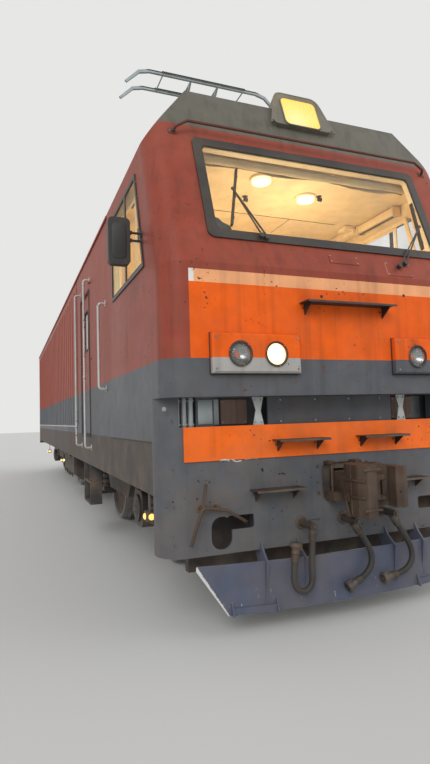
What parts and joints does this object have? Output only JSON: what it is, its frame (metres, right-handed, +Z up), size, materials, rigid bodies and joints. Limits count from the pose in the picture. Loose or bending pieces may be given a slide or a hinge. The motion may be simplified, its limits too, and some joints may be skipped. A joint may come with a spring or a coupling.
{
  "type": "electric locomotive section",
  "caption": "Cab-ended section of a freight electric locomotive with raised pantograph, swinging doors, yawing bogies and rolling wheelsets.",
  "frame": {"origin": "under the middle of the section at the level of the flange tips, 30 mm under the rail head", "axes": "+Z up; the front faces -Y; +X is on the right of someone looking at the front"},
  "size_m": [3.67, 17, 6.3698],
  "materials": {
    "body_red": "deep red body paint, satin, dusty",
    "body_grey": "dark grey lower paint, dusty",
    "band_orange": "strong orange paint",
    "roof_grey": "greyish green roof paint, weathered",
    "plow_grey": "bluish grey paint, scratched",
    "window_black": "black window rim",
    "window_clear": "clear safety glass",
    "lamp_clear": "clear lamp glass",
    "cab_cream": "cream cab lining",
    "cab_wood": "light brown lining panels",
    "desk_grey": "grey moulded desk",
    "seat_fabric": "dark woven seat cover",
    "blind_fabric": "beige blind fabric",
    "steel_dark": "dark grime over running gear paint",
    "steel_black": "black painted steel",
    "coupler_rust": "rusty brown cast steel",
    "hose_rubber": "black brake hose rubber",
    "hose_metal": "dark cast hose fittings",
    "rail_silver": "silver painted handrails",
    "wheel_steel": "rolled wheel steel, bright tread",
    "bellows_rubber": "black folded rubber",
    "galvanised": "galvanised posts",
    "insulator_brown": "glazed red-brown insulators",
    "pantograph_red": "red painted pantograph steel",
    "strip_carbon": "dark contact strips",
    "lamp_white": "white ceiling lamp covers",
    "equipment_grey": "light grey equipment cabinets"
  },
  "bodies": {
    "carbody": {"underframe": "body_grey", "cab_shell": "body_red", "window_frames": "window_black", "window_glass": "window_clear", "cab_floor": "desk_grey", "cab_ceiling": "cab_cream", "cab_bulkhead": "cab_cream", "side_wall_left": "body_red", "side_wall_right": "body_red", "rear_wall": "body_red", "room_bulkhead": "cab_wood", "machine_roof": "roof_grey", "gangway_bellows": "bellows_rubber", "front_plate": "body_grey", "recess_fittings": "galvanised", "searchlight_hood": "roof_grey", "lamp_boxes": "band_orange", "lamp_glasses": "lamp_clear", "front_steps": "steel_dark", "plow": "plow_grey", "couplers": "coupler_rust", "hose_left": "hose_rubber", "hose_middle": "hose_rubber", "hose_right": "hose_rubber", "hose_heads": "hose_metal", "hose_cocks": "hose_metal", "uncoupling_lever": "steel_dark", "handrails": "rail_silver", "mirrors": "steel_black", "wipers": "steel_black", "desk": "desk_grey", "seat_frames": "steel_black", "seat_cushions": "seat_fabric", "ceiling_lamps": "lamp_white", "sunblind": "blind_fabric", "equipment_block": "equipment_grey", "underfloor_equipment": "steel_dark", "roof_hoods": "roof_grey", "roof_insulators": "insulator_brown", "pantograph_base": "pantograph_red"},
    "side_door_left": {"door_left": "body_red"},
    "side_door_right": {"door_right": "body_red"},
    "rear_door": {"gangway_door": "body_red"},
    "inner_door": {"cab_door": "cab_cream"},
    "lower_arm": {"pantograph_lower_arm": "pantograph_red"},
    "upper_arm": {"pantograph_upper_arm": "pantograph_red"},
    "thrust_rod": {"pantograph_rod": "pantograph_red"},
    "collector_head": {"pantograph_head": "strip_carbon"},
    "bogie_front": {"bogie_frame_front": "steel_dark", "bogie_suspension_front": "steel_dark", "bogie_drives_front": "steel_dark"},
    "bogie_rear": {"bogie_frame_rear": "steel_dark", "bogie_suspension_rear": "steel_dark", "bogie_drives_rear": "steel_dark"},
    "axle_1": {"wheelset_1": "wheel_steel"},
    "axle_2": {"wheelset_2": "wheel_steel"},
    "axle_3": {"wheelset_3": "wheel_steel"},
    "axle_4": {"wheelset_4": "wheel_steel"}
  },
  "joints": [
    {"name": "side_door_left_swing", "type": "hinge", "parent": "carbody", "child": "side_door_left", "pos_m": [-1.466, -4.3, 2.5], "axis": [0, 0, -1], "range_deg": [0, 90]},
    {"name": "side_door_right_swing", "type": "hinge", "parent": "carbody", "child": "side_door_right", "pos_m": [1.466, -4.3, 2.5], "axis": [0, 0, 1], "range_deg": [0, 90]},
    {"name": "rear_door_swing", "type": "hinge", "parent": "carbody", "child": "rear_door", "pos_m": [-0.36, 7.978, 2.5], "axis": [0, 0, -1], "range_deg": [0, 90]},
    {"name": "inner_door_swing", "type": "hinge", "parent": "carbody", "child": "inner_door", "pos_m": [-0.32, -5.838, 2.9], "axis": [0, 0, 1], "range_deg": [0, 90]},
    {"name": "pantograph_raise", "type": "hinge", "parent": "carbody", "child": "lower_arm", "pos_m": [0, -4.83, 4.91], "axis": [1, 0, 0], "range_deg": [-18.56, 14.57]},
    {"name": "upper_arm_fold", "type": "hinge", "parent": "lower_arm", "child": "upper_arm", "pos_m": [0, -3.21127, 5.575], "axis": [1, 0, 0], "range_deg": [-30.14, 38.12]},
    {"name": "head_level", "type": "hinge", "parent": "upper_arm", "child": "collector_head", "pos_m": [0, -4.83, 6.24], "axis": [1, 0, 0], "range_deg": [-19.56, 15.57]},
    {"name": "thrust_rod_swing", "type": "hinge", "parent": "carbody", "child": "thrust_rod", "pos_m": [0.18, -4.57, 4.885], "axis": [1, 0, 0], "range_deg": [-20.21, 16.08]},
    {"name": "bogie_front_yaw", "type": "hinge", "parent": "carbody", "child": "bogie_front", "pos_m": [0, -4.2, 0.9], "axis": [0, 0, 1], "range_deg": [-3, 3]},
    {"name": "bogie_rear_yaw", "type": "hinge", "parent": "carbody", "child": "bogie_rear", "pos_m": [0, 4.2, 0.9], "axis": [0, 0, 1], "range_deg": [-3, 3]},
    {"name": "axle_1_roll", "type": "hinge", "parent": "bogie_front", "child": "axle_1", "pos_m": [0, -5.7, 0.655], "axis": [1, 0, 0], "continuous": true},
    {"name": "axle_2_roll", "type": "hinge", "parent": "bogie_front", "child": "axle_2", "pos_m": [0, -2.7, 0.655], "axis": [1, 0, 0], "continuous": true},
    {"name": "axle_3_roll", "type": "hinge", "parent": "bogie_rear", "child": "axle_3", "pos_m": [0, 2.7, 0.655], "axis": [1, 0, 0], "continuous": true},
    {"name": "axle_4_roll", "type": "hinge", "parent": "bogie_rear", "child": "axle_4", "pos_m": [0, 5.7, 0.655], "axis": [1, 0, 0], "continuous": true}
  ],
  "couplings": [
    {"joint": "upper_arm_fold", "follows": "pantograph_raise", "ratio": -2},
    {"joint": "head_level", "follows": "pantograph_raise", "ratio": 1},
    {"joint": "thrust_rod_swing", "follows": "pantograph_raise", "ratio": 1.032}
  ]
}
